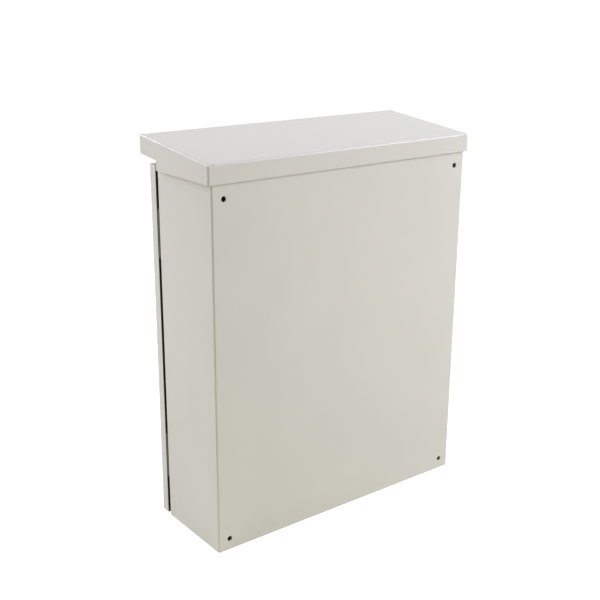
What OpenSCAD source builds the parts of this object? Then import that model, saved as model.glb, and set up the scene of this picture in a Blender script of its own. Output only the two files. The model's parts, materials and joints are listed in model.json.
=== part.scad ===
// Outdoor wall-mounted enclosure of folded sheet steel, with a sloping rain hood and a hinged door.
// Lengths are in millimetres. X runs across the door, the door faces -Y and Z is up.
// The origin is on the base, at the middle of the overall width and depth.
// The modules work from the wall face: y = 0 there, and y falls towards the door.

/* [Body] */
// Width across the body's sides
body_w = 401; // [340:1:600]
// Height from the base to the body's flat top
body_h = 486; // [440:1:800]
// Depth from the wall face to the front flange
body_d = 120; // [110:0.5:250]
// Sheet thickness of body, door and hood
sheet_t = 1.2; // [1:0.1:1.5]
// Inside radius of the sheet's folds
fold_r = 1; // [0.6:0.1:1.4]
// Height of the rain lip that stands round the opening
lip_h = 10; // [6:0.5:11]
// Distance of the lip inside the door's outline
lip_inset = 17; // [16:0.5:20]
// Gap left in the welded corners of the end panels
corner_ease = 0.3; // [0.1:0.1:0.6]

/* [Wall holes] */
// Diameter of the four wall holes
wall_hole_d = 7; // [5:0.5:9]
// Distance of the wall holes from the body's sides
wall_hole_side = 16.5; // [12:0.5:20]
// Height of the lower wall holes above the base
wall_hole_low = 15; // [10:0.5:24]
// Distance of the upper wall holes below the body's top
wall_hole_top = 36.5; // [28:0.5:42]

/* [Rain hood] */
// Overhang past the body's sides
hood_side = 5.1; // [4:0.1:20]
// Overhang past the wall face
hood_back = 2.1; // [2:0.1:6]
// Overhang past the door's face
hood_front = 13.1; // [8:0.1:60]
// Height of the roof's back edge above the body's top
hood_lift = 4.3; // [4:0.1:20]
// Rise of the roof from its back edge to its front edge
hood_rise = 16.1; // [14:0.1:60]
// Height of the folded skirt
hood_skirt = 23.1; // [20:0.1:27]
// Distance of the skirt's step behind the front flange
hood_step = 6.4; // [5:0.1:20]
// Run of the steep step in the side skirts
hood_step_run = 1; // [0.5:0.1:20]
// Diameter of the relief holes at the ends of the front and back folds
hood_relief_d = 1.6; // [1:0.1:3]
// Distance of the relief holes from the hood's sides
hood_relief_side = 6.5; // [5:0.1:12]

/* [Hood fixing] */
// Distance of each cleat from the middle
cleat_x = 120; // [60:1:150]
// Width of a cleat's flanges
cleat_w = 22; // [16:1:30]
// Sheet thickness of the cleats
cleat_t = 1.5; // [1:0.1:2]
// Distance of the cleats from the wall face
cleat_back = 32; // [20:1:45]
// Distance of the cleats behind the front flange
cleat_front = 10; // [5:1:20]
// Distance of the hood bolts from a cleat's front end and between the two
hood_bolt_step = 24; // [16:1:26]

/* [Door] */
// Height of the door's lower edge above the base
door_base = 1.5; // [1:0.1:5]
// Distance of the door's upper edge below the body's top
door_head = 14; // [10:0.5:30]
// Depth of the door's folded returns
door_return = 14.8; // [11:0.1:20]
// Outside radius of the door's folded edges
door_edge_r = 3; // [2.2:0.1:4]

/* [Seal] */
// Distance of the seal inside the door's outline
seal_inset = 3; // [3:0.5:8]
// Width of the seal
seal_w = 18; // [14:0.5:22]
// Gap between the seal and the lip
seal_clear = 0.3; // [0.1:0.1:1]

/* [Hinges] */
// Length of a hinge
hinge_len = 60; // [40:1:90]
// Distance of a hinge's middle from the door's end
hinge_end = 85; // [60:1:150]
// Outside diameter of the knuckles
barrel_d = 3.8; // [3.4:0.1:5.4]
// Diameter of the hinge pins
pin_d = 2; // [1.6:0.1:2.4]
// Radial play of a pin in its knuckles
pin_play = 0.05; // [0.02:0.01:0.1]
// Thickness of the hinge leaves
leaf_t = 1; // [0.8:0.1:1.2]
// Width of the hinge leaves, from the pin's axis
leaf_w = 11; // [9:0.5:11.5]
// Distance of the pin's axis inside the body's side
hinge_set = 1.8; // [1.6:0.1:2]
// Gap between the knuckles and the front flange
hinge_clear = 0.3; // [0.2:0.1:0.6]
// Gap between the knuckles and the door's return
return_clear = 0.3; // [0.3:0.1:0.8]
// Gap between two knuckles along the pin
knuckle_gap = 0.2; // [0.1:0.1:0.5]
// Diameter of a pin's heads
pin_head_d = 3.2; // [2.6:0.1:3.6]
// Height of a pin's heads
pin_head_h = 1; // [0.5:0.1:2]

/* [Lock] */
// Distance of the lock from the door's free edge
lock_edge = 48; // [44:0.5:70]
// Diameter of the lock's threaded barrel
lock_barrel_d = 22; // [20:0.5:24]
// Width across the barrel's two flats
lock_flats = 20; // [18:0.5:20]
// Clearance of the barrel in the door's hole
lock_clear = 0.3; // [0.1:0.1:0.6]
// Diameter of the lock's front flange
lock_flange_d = 29; // [27:0.5:34]
// Thickness of the front flange at its rim
lock_flange_t = 4; // [3:0.5:6]
// Bevel round the front flange
lock_bevel = 1; // [0.5:0.1:1.5]
// Thickness of the gasket under the flange
lock_gasket_t = 1; // [0.5:0.1:2]
// Width across the flats of the lock's nut
lock_nut_af = 27; // [26:0.5:30]
// Height of the lock's nut
lock_nut_h = 5; // [3:0.5:6]
// Diameter of the turning insert
insert_d = 12; // [10:0.5:14]
// Diameter of the insert's front disc
insert_disc_d = 17; // [15:0.5:18]
// Thickness of the insert's front disc
insert_disc_t = 3; // [2:0.1:4]
// Running clearance round the insert
insert_play = 0.1; // [0.05:0.01:0.1]
// Depth of the key socket
socket_depth = 7; // [4:0.5:9]
// Diameter of the key socket
socket_d = 9; // [8:0.1:9.6]
// Diameter of the key post in the socket
post_d = 4; // [3:0.1:5]
// Width of the key post's two fins
fin_w = 2; // [1.5:0.1:3]
// Reach of the cam from the lock's axis
cam_len = 42; // [36:0.5:43]
// Width of the cam
cam_w = 16; // [13:0.5:20]
// Thickness of the cam
cam_t = 2.5; // [2:0.1:4]
// Gap between the cam and the front flange it catches behind
cam_clear = 0.8; // [0.4:0.1:2]
// Side of the square that turns the cam
cam_square = 8; // [7:0.1:8]

/* [Mounting plate] */
// Distance of the mounting plate from the body's sides
plate_side = 31; // [26:1:60]
// Distance of the mounting plate from the door's ends
plate_end = 35; // [28:1:80]
// Thickness of the mounting plate
plate_t = 1.5; // [1:0.1:3]
// Depth of the plate's returns towards the back
plate_return = 10; // [6:0.5:12]
// Distance of the plate from the back sheet
plate_standoff = 14; // [13:0.5:30]
// Distance of the plate's studs from its edges
plate_stud_in = 16; // [13:0.5:30]
// Outside diameter of the spacers behind the plate
spacer_d = 10; // [9:0.5:14]

/* [Cable entry] */
// Width of the cut-out in the bottom
entry_w = 240; // [160:1:260]
// Depth of the cut-out in the bottom
entry_d = 66; // [50:1:68]
// Corner radius of the cut-out
entry_r = 5; // [2:0.5:10]
// Rim of the entry plate round the cut-out
entry_rim = 14; // [12:0.5:16]
// Thickness of the entry plate
entry_t = 1.5; // [1:0.1:2]
// Thickness of the gasket under the entry plate
entry_gasket_t = 2; // [1.5:0.1:3]
// Distance between the two cable grommets
grommet_pitch = 110; // [80:1:120]
// Diameter of the grommets' holes
grommet_hole_d = 32; // [20:0.5:36]
// Width of a grommet's collars past its hole
grommet_collar = 4; // [2:0.5:5]
// Height of a grommet's closed cone
grommet_h = 9; // [6:0.5:15]
// Wall of a grommet
grommet_wall = 1.6; // [1:0.1:2.5]

/* [Fasteners] */
// Thread diameter of the large studs and bolts
stud_d = 6; // [5:0.5:6]
// Width across the flats of their nuts
nut_af = 10; // [9:0.5:11]
// Height of their nuts
nut_h = 5; // [3:0.1:5]
// Diameter of their washers
washer_d = 12.4; // [11:0.1:14]
// Thickness of their washers
washer_t = 1.6; // [1:0.1:2]
// Thread diameter of the entry plate's studs
small_stud_d = 5; // [4:0.5:5]
// Width across the flats of the entry plate's nuts
small_nut_af = 8; // [7:0.5:9]
// Height of the entry plate's nuts
small_nut_h = 4; // [3:0.1:5]
// Radial clearance of a stud or bolt in a hole
bolt_clear = 0.4; // [0.2:0.1:0.6]
// Radial clearance of a thread in its nut
thread_clear = 0.05; // [0.02:0.01:0.1]
// Length of thread past a nut
stud_tail = 3; // [1:0.5:6]

/* [Earth studs] */
// Length of an earth stud
earth_len = 16; // [12:0.5:18]
// Distance of the door's earth stud from the hinge side
earth_side = 38; // [33:0.5:45]
// Height of the door's earth stud above the base
earth_height = 46; // [40:1:60]

/* [Hidden] */
$fn = 64;
paint = "#d6d5cf";
zinc = "#b9bcc0";
bright = "#c9ccd0";
brass = "#c8a860";
rubber = "#202122";

// Length by which a cut passes the faces that it opens
cut_past = 1;
half_w = body_w / 2;
front_y = -body_d;
fold_out = fold_r + sheet_t;
fold_x = half_w - fold_out;
inner_half = half_w - sheet_t;

// Door: its returns stand clear of the hinge knuckles, in front of the flange
barrel_r = barrel_d / 2;
door_gap = hinge_clear + barrel_d + return_clear;
door_back_y = front_y - door_gap;
door_front_y = door_back_y - door_return;
door_inner_y = door_front_y + sheet_t;
door_top = body_h - door_head;
door_h = door_top - door_base;
door_mid_z = door_base + door_h / 2;

// Rain lip, measured in from the door's outline
lip_x = half_w - lip_inset;
lip_bottom = door_base + lip_inset;
lip_top = door_top - lip_inset;
lip_inner_x = lip_x - sheet_t;
seal_h = front_y - lip_h - seal_clear - door_inner_y;

// Rain hood
hood_half = half_w + hood_side;
hood_reach = hood_front - door_front_y;
hood_depth = hood_reach + hood_back;
roof_angle = atan(hood_rise / hood_depth);
roof_up = [sin(roof_angle), cos(roof_angle)];
roof_back_z = body_h + hood_lift;
skirt_z = roof_back_z - hood_skirt;
step_top_y = front_y + hood_step;
step_foot_y = step_top_y + hood_step_run;
back_y = (hood_reach - hood_back) / 2;
function roof_z(y) = roof_back_z + (hood_back - y) * tan(roof_angle);
function roof_under_z(y) = roof_z(y) - sheet_t / cos(roof_angle);

// Hood cleats and their bolts
cleat_start_y = -cleat_back;
cleat_end_y = front_y + cleat_front;
hood_bolt_ys = [cleat_end_y + hood_bolt_step / 2, cleat_end_y + hood_bolt_step * 3 / 2];
hood_bolt_len = washer_t + sheet_t + cleat_t + nut_h;

// Hinges
hinge_x = half_w - hinge_set;
hinge_y = front_y - hinge_clear - barrel_r;
hinge_upper_z = door_top - hinge_end;
hinge_lower_z = door_base + hinge_end;
knuckle = (hinge_len - 2 * knuckle_gap) / 3;
knuckle_bore_d = pin_d + 2 * pin_play;

// Lock, along the depth from the front disc to the cam
lock_x = lock_edge - half_w;
lock_hole_d = lock_barrel_d + 2 * lock_clear;
lock_hole_flats = lock_flats + 2 * lock_clear;
flange_back_y = door_front_y - lock_gasket_t;
flange_face_y = flange_back_y - lock_flange_t;
cam_front_y = front_y + sheet_t + cam_clear;
cam_back_y = cam_front_y + cam_t;
lock_end_y = cam_front_y - cam_clear;
disc_seat_y = flange_face_y + insert_disc_t;
disc_recess = insert_disc_t + insert_play;
cam_hole = cam_square + 2 * insert_play;
cam_screw_d = cam_square * 0.6;

// Mounting plate and its studs
plate_w = body_w - 2 * plate_side;
plate_h = door_h - 2 * plate_end;
plate_back_y = -sheet_t - plate_standoff;
plate_front_y = plate_back_y - plate_t;
plate_stud_x = plate_w / 2 - plate_stud_in;
plate_stud_z = plate_h / 2 - plate_stud_in;
plate_stud_len = plate_standoff + plate_t + washer_t + nut_h + stud_tail;

// Cable entry in the bottom
entry_y = front_y / 2;
entry_plate_size = [entry_w + 2 * entry_rim, entry_d + 2 * entry_rim];
entry_stud_x = (entry_w + entry_rim) / 2;
entry_stud_y = (entry_d + entry_rim) / 2;
entry_under_z = sheet_t + entry_gasket_t;
entry_top_z = entry_under_z + entry_t;
entry_stud_len = entry_gasket_t + entry_t + small_nut_h + stud_tail;
grommet_drop = entry_under_z - sheet_t;

// Earth studs: the body's stands midway between the entry plate and the side
body_earth_x = (entry_plate_size.x / 2 + inner_half) / 2;
door_earth_x = half_w - earth_side;

// Moves a piece from the wall face to the part's own origin
module from_wall() {
    translate([0, back_y, 0])
        children();
}

// Both sides of a piece that is symmetric about the middle plane
module both_sides() {
    for (side = [0, 1])
        mirror([side, 0, 0])
            children();
}

// Section in depth and height, drawn out along the width
module along_width(length) {
    rotate([90, 0, 90])
        linear_extrude(length, center = true)
            children();
}

// Turned piece whose axis runs from the front, along +Y
module along_depth(y) {
    translate([0, y, 0])
        rotate([-90, 0, 0])
            children();
}

// Flat rectangle between two opposite corners
module span(from, to) {
    translate([min(from.x, to.x), min(from.y, to.y)])
        square([abs(to.x - from.x), abs(to.y - from.y)]);
}

// Rectangle with round corners, about its middle
module rounded_rectangle(size, r) {
    square([size.x - 2 * r, size.y], center = true);
    square([size.x, size.y - 2 * r], center = true);
    for (x = [-1, 1], y = [-1, 1])
        translate([x * (size.x / 2 - r), y * (size.y / 2 - r)])
            circle(r);
}

// Section of a quarter fold about its centre, turned to its quadrant
module fold_section(turn, inner = fold_r, wall = sheet_t) {
    rotate(turn)
        intersection() {
            difference() {
                circle(inner + wall);
                circle(inner);
            }
            square(inner + wall);
        }
}

module ring(outer_d, inner_d, height) {
    difference() {
        cylinder(d = outer_d, h = height);
        translate([0, 0, -cut_past])
            cylinder(d = inner_d, h = height + 2 * cut_past);
    }
}

module hexagon(across, height) {
    cylinder(d = across / cos(30), h = height, $fn = 6);
}

module hex_nut(across, height, thread_d) {
    difference() {
        hexagon(across, height);
        translate([0, 0, -cut_past])
            cylinder(d = thread_d + 2 * thread_clear, h = height + 2 * cut_past);
    }
}

module washer() {
    ring(washer_d, stud_d + 2 * bolt_clear, washer_t);
}

// Half of the body's plan: back, side and front flange, folded from one sheet
module wrap_section() {
    span([0, -sheet_t], [fold_x, 0]);
    translate([fold_x, -fold_out])
        fold_section(0);
    span([inner_half, front_y + fold_out], [half_w, -fold_out]);
    translate([fold_x, front_y + fold_out])
        fold_section(270);
    span([lip_x + fold_r, front_y], [fold_x, front_y + sheet_t]);
}

module lip_section() {
    translate([lip_x + fold_r, front_y - fold_r])
        fold_section(90);
    span([lip_inner_x, front_y - lip_h], [lip_x, front_y - fold_r]);
}

// End of the upright flange past the lip, cut square to meet an end panel
module flange_tab(z, height) {
    translate([0, 0, z])
        linear_extrude(height)
            span([lip_inner_x, front_y], [lip_x + fold_r, front_y + sheet_t]);
}

module body_wrap() {
    color(paint)
        from_wall()
            difference() {
                both_sides() {
                    linear_extrude(body_h)
                        wrap_section();
                    translate([0, 0, lip_bottom])
                        linear_extrude(lip_top - lip_bottom)
                            lip_section();
                    flange_tab(0, lip_bottom);
                    flange_tab(lip_top, body_h - lip_top);
                }
                for (x = [wall_hole_side - half_w, half_w - wall_hole_side])
                    for (z = [wall_hole_low, body_h - wall_hole_top])
                        translate([x, 0, z])
                            along_depth(-sheet_t - cut_past)
                                cylinder(d = wall_hole_d, h = sheet_t + 2 * cut_past);
            }
}

// Section of an end panel: plate, front flange and lip, with its outer face at zero height
module end_panel_section(flange_h) {
    span([front_y + fold_out, 0], [-sheet_t, sheet_t]);
    translate([front_y + fold_out, fold_out])
        fold_section(180);
    span([front_y, fold_out], [front_y + sheet_t, flange_h - fold_r]);
    translate([front_y - fold_r, flange_h - fold_r])
        fold_section(0);
    span([front_y - lip_h, flange_h], [front_y - fold_r, flange_h + sheet_t]);
}

module end_panel(flange_h) {
    along_width(2 * lip_inner_x)
        end_panel_section(flange_h);
    translate([0, front_y / 2, 0])
        linear_extrude(sheet_t)
            rounded_rectangle([2 * inner_half, body_d - 2 * sheet_t], fold_r + corner_ease);
}

module top_panel() {
    color(paint)
        from_wall()
            difference() {
                translate([0, 0, body_h])
                    mirror([0, 0, 1])
                        end_panel(body_h - lip_top);
                at_hood_bolts(body_h - sheet_t - cut_past)
                    cylinder(d = stud_d + 2 * bolt_clear, h = sheet_t + 2 * cut_past);
            }
}

module bottom_panel() {
    color(paint)
        from_wall()
            difference() {
                end_panel(lip_bottom);
                translate([0, entry_y, -cut_past])
                    linear_extrude(sheet_t + 2 * cut_past)
                        rounded_rectangle([entry_w, entry_d], entry_r);
            }
}

// Side view of the hood's outside, or of its inside when set in by the sheet's thickness
module hood_section(inset, skirt_line) {
    turn_r = fold_out - inset;
    back_turn_y = hood_back - fold_out;
    front_turn_y = fold_out - hood_reach;
    back_turn = [back_turn_y, roof_z(back_turn_y) - fold_out / cos(roof_angle)];
    front_turn = [front_turn_y, roof_z(front_turn_y) - fold_out / cos(roof_angle)];
    back_fold = [[hood_back - inset, back_turn.y], back_turn + turn_r * roof_up];
    front_fold = [front_turn + turn_r * roof_up, [inset - hood_reach, front_turn.y]];
    polygon(concat(back_fold, front_fold, skirt_line));
    translate(back_turn)
        circle(turn_r);
    translate(front_turn)
        circle(turn_r);
}

// Body of the roof seen along its slope, with the two side folds
module hood_cover(inset) {
    turn_r = fold_out - inset;
    half = hood_half - inset;
    low = -hood_skirt - hood_rise - hood_lift;
    translate([0, hood_back, roof_back_z])
        rotate([90 - roof_angle, 0, 0])
            translate([0, 0, -hood_rise])
                linear_extrude(hood_depth + 3 * hood_rise) {
                    span([-half, low], [half, -fold_out]);
                    span([turn_r - half, low], [half - turn_r, -inset]);
                    for (x = [turn_r - half, half - turn_r])
                        translate([x, -fold_out])
                            circle(turn_r);
                }
}

// Plan of the hood, with the skirt folded round its four corners
module hood_plan(inset) {
    translate([0, (hood_back - hood_reach) / 2, skirt_z - cut_past])
        linear_extrude(hood_skirt + hood_rise + 2 * cut_past)
            rounded_rectangle([2 * (hood_half - inset), hood_depth - 2 * inset], fold_out - inset);
}

module hood_form(inset, skirt_line) {
    intersection() {
        along_width(2 * hood_half + 2 * cut_past)
            hood_section(inset, skirt_line);
        hood_cover(inset);
        hood_plan(inset);
    }
}

// Round relief through the roof's front or back fold, where the corner's tab starts
module hood_relief(y, toward_y) {
    translate([hood_half - hood_relief_side, y + toward_y * fold_out, roof_z(y) - fold_out])
        rotate([toward_y * 45, 0, 0])
            cylinder(d = hood_relief_d, h = 2 * fold_out);
}

module rain_hood() {
    skirt_outline = [
        [-hood_reach, roof_z(-hood_reach) - hood_skirt],
        [step_top_y, roof_z(step_top_y) - hood_skirt],
        [step_foot_y, skirt_z],
        [hood_back, skirt_z]
    ];
    below = skirt_z - cut_past;
    open_below = [[sheet_t - hood_reach, below], [hood_back - sheet_t, below]];
    color(paint)
        from_wall()
            difference() {
                hood_form(0, skirt_outline);
                hood_form(sheet_t, open_below);
                both_sides() {
                    hood_relief(hood_back, -1);
                    hood_relief(-hood_reach, 1);
                }
            }
}

module at_hood_bolts(z) {
    for (x = [-cleat_x, cleat_x], y = hood_bolt_ys)
        translate([x, y, z])
            children();
}

// Side view of a cleat, or of the space between its flanges when set in by its thickness
module cleat_section(inset, past) {
    back = cleat_start_y + past;
    front = cleat_end_y - past;
    rise = inset / cos(roof_angle);
    polygon([
        [back, body_h + inset],
        [back, roof_under_z(back) - rise],
        [front, roof_under_z(front) - rise],
        [front, body_h + inset]
    ]);
}

// Folded channel that carries the hood at its slope, open towards the middle
module hood_cleat(side) {
    color(paint)
        from_wall()
            difference() {
                translate([side * cleat_x, 0, 0])
                    along_width(cleat_w)
                        cleat_section(0, 0);
                translate([side * (cleat_x - cleat_t), 0, 0])
                    along_width(cleat_w)
                        cleat_section(cleat_t, cut_past);
                at_hood_bolts(body_h - cut_past)
                    cylinder(d = stud_d + 2 * bolt_clear, h = cleat_t + 2 * cut_past);
            }
}

module hood_cleat_left() {
    hood_cleat(-1);
}

module hood_cleat_right() {
    hood_cleat(1);
}

module hood_bolts() {
    head_z = body_h - sheet_t - washer_t;
    color(zinc)
        from_wall()
            at_hood_bolts(head_z) {
                translate([0, 0, -nut_h])
                    hexagon(nut_af, nut_h);
                cylinder(d = stud_d, h = hood_bolt_len);
            }
}

module hood_washers() {
    color(rubber)
        from_wall()
            at_hood_bolts(body_h - sheet_t - washer_t)
                washer();
}

module hood_nuts() {
    color(zinc)
        from_wall()
            at_hood_bolts(body_h + cleat_t)
                hex_nut(nut_af, nut_h, stud_d);
}

module at_plate_studs(y) {
    for (x = [-plate_stud_x, plate_stud_x], z = [-plate_stud_z, plate_stud_z])
        translate([x, y, door_mid_z + z])
            rotate([90, 0, 0])
                children();
}

// Half of the plate's plan, with its return folded towards the back
module plate_section() {
    edge_x = plate_w / 2;
    turn_x = edge_x - fold_r - plate_t;
    turn_y = plate_front_y + fold_r + plate_t;
    span([0, plate_front_y], [turn_x, plate_back_y]);
    translate([turn_x, turn_y])
        fold_section(270, fold_r, plate_t);
    span([edge_x - plate_t, turn_y], [edge_x, plate_front_y + plate_return]);
}

module mounting_plate() {
    color(bright)
        from_wall()
            difference() {
                translate([0, 0, door_mid_z - plate_h / 2])
                    linear_extrude(plate_h)
                        both_sides()
                            plate_section();
                at_plate_studs(plate_back_y + cut_past)
                    cylinder(d = stud_d + 2 * bolt_clear, h = plate_t + 2 * cut_past);
            }
}

module plate_studs() {
    color(zinc)
        from_wall()
            at_plate_studs(-sheet_t)
                cylinder(d = stud_d, h = plate_stud_len);
}

module plate_spacers() {
    color(zinc)
        from_wall()
            at_plate_studs(-sheet_t)
                ring(spacer_d, stud_d + 2 * bolt_clear, plate_standoff);
}

module plate_washers() {
    color(zinc)
        from_wall()
            at_plate_studs(plate_front_y)
                washer();
}

module plate_nuts() {
    color(zinc)
        from_wall()
            at_plate_studs(plate_front_y - washer_t)
                hex_nut(nut_af, nut_h, stud_d);
}

module at_entry_studs(z) {
    for (x = [-entry_stud_x, 0, entry_stud_x], y = [-entry_stud_y, entry_stud_y])
        translate([x, entry_y + y, z])
            children();
}

// Sheet of the entry plate's outline, with the holes for its studs
module entry_sheet(z, thickness) {
    difference() {
        translate([0, entry_y, z])
            linear_extrude(thickness)
                rounded_rectangle(entry_plate_size, entry_r);
        at_entry_studs(z - cut_past)
            cylinder(d = small_stud_d + 2 * bolt_clear, h = thickness + 2 * cut_past);
    }
}

module entry_plate() {
    color(bright)
        from_wall()
            difference() {
                entry_sheet(entry_under_z, entry_t);
                for (x = [-grommet_pitch / 2, grommet_pitch / 2])
                    translate([x, entry_y, entry_under_z - cut_past])
                        cylinder(d = grommet_hole_d, h = entry_t + 2 * cut_past);
            }
}

module entry_gasket() {
    color(rubber)
        from_wall()
            difference() {
                entry_sheet(sheet_t, entry_gasket_t);
                translate([0, entry_y, sheet_t - cut_past])
                    linear_extrude(entry_gasket_t + 2 * cut_past)
                        rounded_rectangle([entry_w, entry_d], entry_r);
            }
}

module entry_studs() {
    color(zinc)
        from_wall()
            at_entry_studs(sheet_t)
                cylinder(d = small_stud_d, h = entry_stud_len);
}

module entry_nuts() {
    color(zinc)
        from_wall()
            at_entry_studs(entry_top_z)
                hex_nut(small_nut_af, small_nut_h, small_stud_d);
}

// Closed cable grommet: two collars hold the plate's edge, and a blind cone stands inside
module grommet(side) {
    waist = grommet_hole_d / 2 - thread_clear;
    collar = grommet_hole_d / 2 + grommet_collar;
    mouth = waist - grommet_wall;
    tip = waist / 2;
    low = entry_under_z - grommet_drop;
    cone_z = entry_top_z + grommet_wall;
    top_z = entry_top_z + grommet_h;
    color(rubber)
        from_wall()
            translate([side * grommet_pitch / 2, entry_y, 0])
                rotate_extrude()
                    polygon([
                        [0, top_z - grommet_wall],
                        [tip - grommet_wall, top_z - grommet_wall],
                        [mouth, cone_z - grommet_wall],
                        [mouth, low],
                        [collar, low],
                        [collar, entry_under_z],
                        [waist, entry_under_z],
                        [waist, entry_top_z],
                        [collar, entry_top_z],
                        [collar - grommet_wall, cone_z],
                        [waist, cone_z],
                        [tip, top_z],
                        [0, top_z]
                    ]);
}

module grommet_left() {
    grommet(-1);
}

module grommet_right() {
    grommet(1);
}

// Knuckle about the pin's axis, starting at a height above the hinge's lower end
module hinge_knuckle(z) {
    translate([0, 0, z])
        cylinder(d = barrel_d, h = knuckle);
}

// Leaf on the front flange, with the two outer knuckles
module body_leaf(mid_z) {
    plate_y = hinge_clear + barrel_r;
    clear_x = barrel_r + return_clear;
    color(zinc)
        from_wall()
            translate([hinge_x, hinge_y, mid_z - hinge_len / 2])
                difference() {
                    union() {
                        translate([-leaf_w, plate_y - leaf_t, 0])
                            cube([leaf_w - clear_x, leaf_t, hinge_len]);
                        for (z = [0, 2 * (knuckle + knuckle_gap)]) {
                            translate([-clear_x, plate_y - leaf_t, z])
                                cube([clear_x, leaf_t, knuckle]);
                            hinge_knuckle(z);
                        }
                    }
                    translate([0, 0, -cut_past])
                        cylinder(d = knuckle_bore_d, h = hinge_len + 2 * cut_past);
                }
}

module body_leaf_upper() {
    body_leaf(hinge_upper_z);
}

module body_leaf_lower() {
    body_leaf(hinge_lower_z);
}

// Leaf on the door return's inner face, with the middle knuckle
module door_leaf(mid_z) {
    plate_x = hinge_set - sheet_t - leaf_t;
    clear_y = barrel_r + return_clear;
    middle_z = knuckle + knuckle_gap;
    color(zinc)
        from_wall()
            translate([hinge_x, hinge_y, mid_z - hinge_len / 2])
                difference() {
                    union() {
                        translate([plate_x, -leaf_w, 0])
                            cube([leaf_t, leaf_w - clear_y, hinge_len]);
                        translate([plate_x, -clear_y, middle_z])
                            cube([leaf_t, clear_y, knuckle]);
                        hinge_knuckle(middle_z);
                    }
                    translate([0, 0, -cut_past])
                        cylinder(d = knuckle_bore_d, h = hinge_len + 2 * cut_past);
                }
}

module door_leaf_upper() {
    door_leaf(hinge_upper_z);
}

module door_leaf_lower() {
    door_leaf(hinge_lower_z);
}

module hinge_pin(mid_z) {
    color(zinc)
        from_wall()
            translate([hinge_x, hinge_y, mid_z - hinge_len / 2]) {
                cylinder(d = pin_d, h = hinge_len);
                for (z = [-pin_head_h, hinge_len])
                    translate([0, 0, z])
                        cylinder(d = pin_head_d, h = pin_head_h);
            }
}

module hinge_pin_upper() {
    hinge_pin(hinge_upper_z);
}

module hinge_pin_lower() {
    hinge_pin(hinge_lower_z);
}

// Outline of the door with its two front folds, across the given half width or height
module door_fold_section(half, inset) {
    turn_r = door_edge_r - inset;
    past = inset > 0 ? cut_past : 0;
    span([inset - half, door_front_y + door_edge_r], [half - inset, door_back_y + past]);
    span([door_edge_r - half, door_front_y + inset], [half - door_edge_r, door_back_y + past]);
    for (x = [door_edge_r - half, half - door_edge_r])
        translate([x, door_front_y + door_edge_r])
            circle(turn_r);
}

// Pan of the door: the crossing of its plan and its side view
module door_form(inset) {
    intersection() {
        translate([0, 0, door_base - cut_past])
            linear_extrude(door_h + 2 * cut_past)
                door_fold_section(half_w, inset);
        translate([0, 0, door_mid_z])
            rotate([0, 90, 0])
                linear_extrude(body_w + 2 * cut_past, center = true)
                    door_fold_section(door_h / 2, inset);
    }
}

module door_panel() {
    color(paint)
        from_wall()
            difference() {
                door_form(0);
                door_form(sheet_t);
                translate([lock_x, 0, door_mid_z])
                    along_depth(door_front_y - cut_past)
                        linear_extrude(sheet_t + 2 * cut_past)
                            lock_outline(lock_hole_d, lock_hole_flats);
            }
}

// Frame of the seal, from its outer edge to its inner edge
module door_seal() {
    outer = [body_w - 2 * seal_inset, door_h - 2 * seal_inset];
    inner = outer - [2 * seal_w, 2 * seal_w];
    color(rubber)
        from_wall()
            translate([0, 0, door_mid_z])
                along_depth(door_inner_y)
                    linear_extrude(seal_h)
                        difference() {
                            rounded_rectangle(outer, seal_inset);
                            square(inner, center = true);
                        }
}

// Round with two flats, which keep the lock from turning in the door
module lock_outline(diameter, flats) {
    intersection() {
        circle(d = diameter);
        square([flats, 2 * diameter], center = true);
    }
}

module at_lock(y) {
    translate([lock_x, 0, door_mid_z])
        along_depth(y)
            children();
}

module lock_housing() {
    color(bright)
        from_wall()
            difference() {
                union() {
                    at_lock(flange_face_y)
                        cylinder(d1 = lock_flange_d - 2 * lock_bevel, d2 = lock_flange_d, h = lock_bevel);
                    at_lock(flange_face_y + lock_bevel)
                        cylinder(d = lock_flange_d, h = lock_flange_t - lock_bevel);
                    at_lock(flange_back_y)
                        linear_extrude(lock_end_y - flange_back_y)
                            lock_outline(lock_barrel_d, lock_flats);
                }
                at_lock(flange_face_y - cut_past)
                    cylinder(d = insert_disc_d + 2 * insert_play, h = disc_recess + cut_past);
                at_lock(flange_face_y)
                    cylinder(d = insert_d + 2 * insert_play, h = lock_end_y - flange_face_y + cut_past);
            }
}

module lock_gasket() {
    color(rubber)
        from_wall()
            at_lock(flange_back_y)
                ring(lock_flange_d, lock_hole_d, lock_gasket_t);
}

module lock_nut() {
    color(zinc)
        from_wall()
            at_lock(door_inner_y)
                hex_nut(lock_nut_af, lock_nut_h, lock_barrel_d);
}

// Turning insert with a key socket in front, a round shaft and a square end for the cam
module lock_insert() {
    color(bright)
        from_wall()
            difference() {
                union() {
                    at_lock(flange_face_y)
                        cylinder(d = insert_disc_d, h = insert_disc_t);
                    at_lock(disc_seat_y)
                        cylinder(d = insert_d, h = cam_front_y - disc_seat_y);
                    at_lock(cam_front_y)
                        translate([-cam_square / 2, -cam_square / 2, 0])
                            cube([cam_square, cam_square, cam_t]);
                }
                at_lock(flange_face_y - cut_past)
                    difference() {
                        cylinder(d = socket_d, h = socket_depth + cut_past);
                        cylinder(d = post_d, h = socket_depth + cut_past);
                        translate([-socket_d / 2, -fin_w / 2, 0])
                            cube([socket_d, fin_w, socket_depth + cut_past]);
                    }
                at_lock(cam_front_y - cam_screw_d)
                    cylinder(d = cam_screw_d + 2 * thread_clear, h = cam_screw_d + cam_t + cut_past);
            }
}

// Cam that hangs down when unlocked, with a round hub and a round tip
module lock_cam() {
    tip_z = cam_len - cam_w / 2;
    color(zinc)
        from_wall()
            at_lock(cam_front_y)
                linear_extrude(cam_t)
                    difference() {
                        union() {
                            circle(d = cam_w + cam_square / 2);
                            translate([-cam_w / 2, 0])
                                square([cam_w, tip_z]);
                            translate([0, tip_z])
                                circle(d = cam_w);
                        }
                        square(cam_hole, center = true);
                    }
}

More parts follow.
